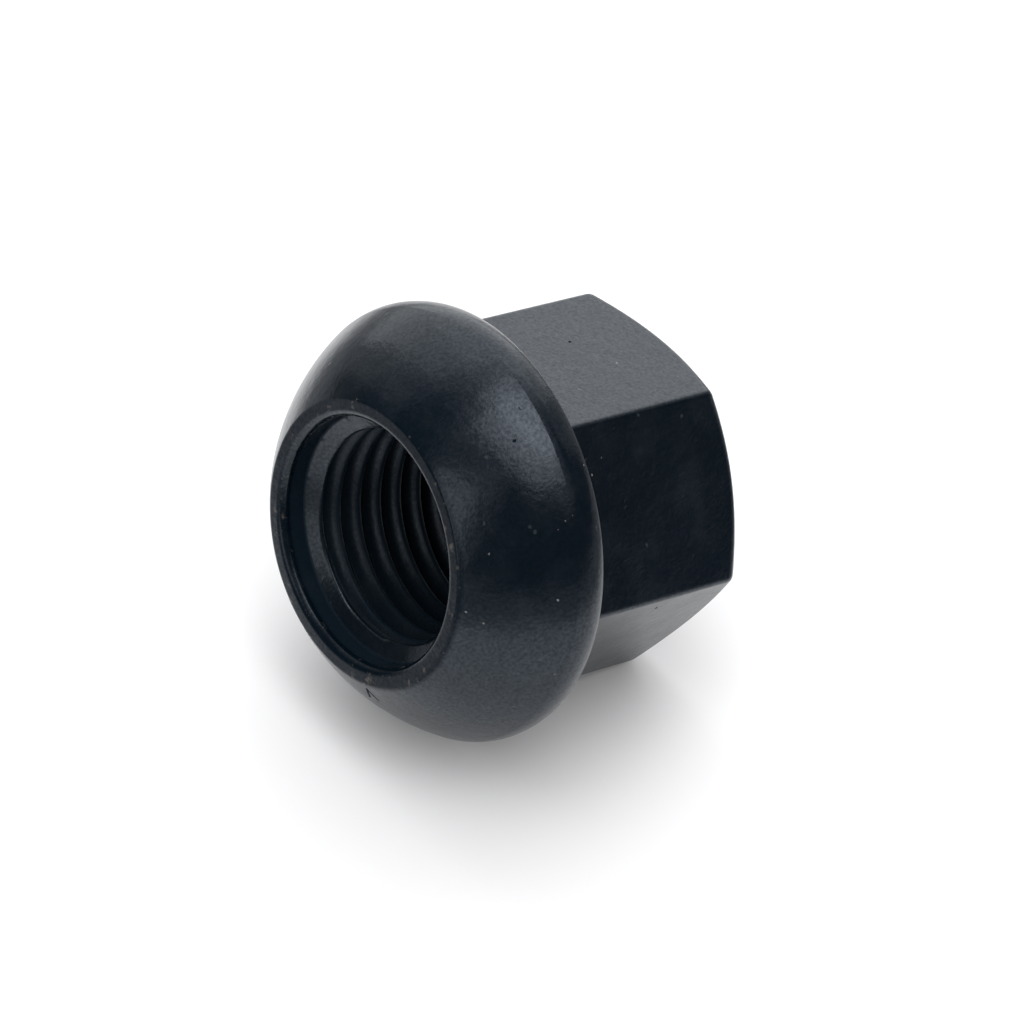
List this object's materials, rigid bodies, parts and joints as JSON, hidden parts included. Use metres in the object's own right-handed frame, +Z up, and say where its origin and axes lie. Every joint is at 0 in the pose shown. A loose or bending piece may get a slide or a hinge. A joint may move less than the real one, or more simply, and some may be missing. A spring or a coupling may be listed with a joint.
{
  "type": "lug nut",
  "caption": "Open-ended lug nut with a ball seat: a hex drive with a turned chamfer, a rounded shoulder, a spherical seat around the mouth and an internal stud thread. Black coated steel.",
  "frame": {"origin": "centre of the bounding box on the surface that the nut lies on", "axes": "+Z up; the nut lies on the flat at -Z of its hex and on its shoulder, its axis is in the XZ plane, and its mouth points to -X and up"},
  "size_m": [0.0235, 0.0256, 0.0249],
  "materials": {
    "coated_steel": "satin black coating on forged and turned steel, a little worn at the mouth ring"
  },
  "bodies": {
    "root": {"lug_nut": "coated_steel"}
  },
  "joints": []
}
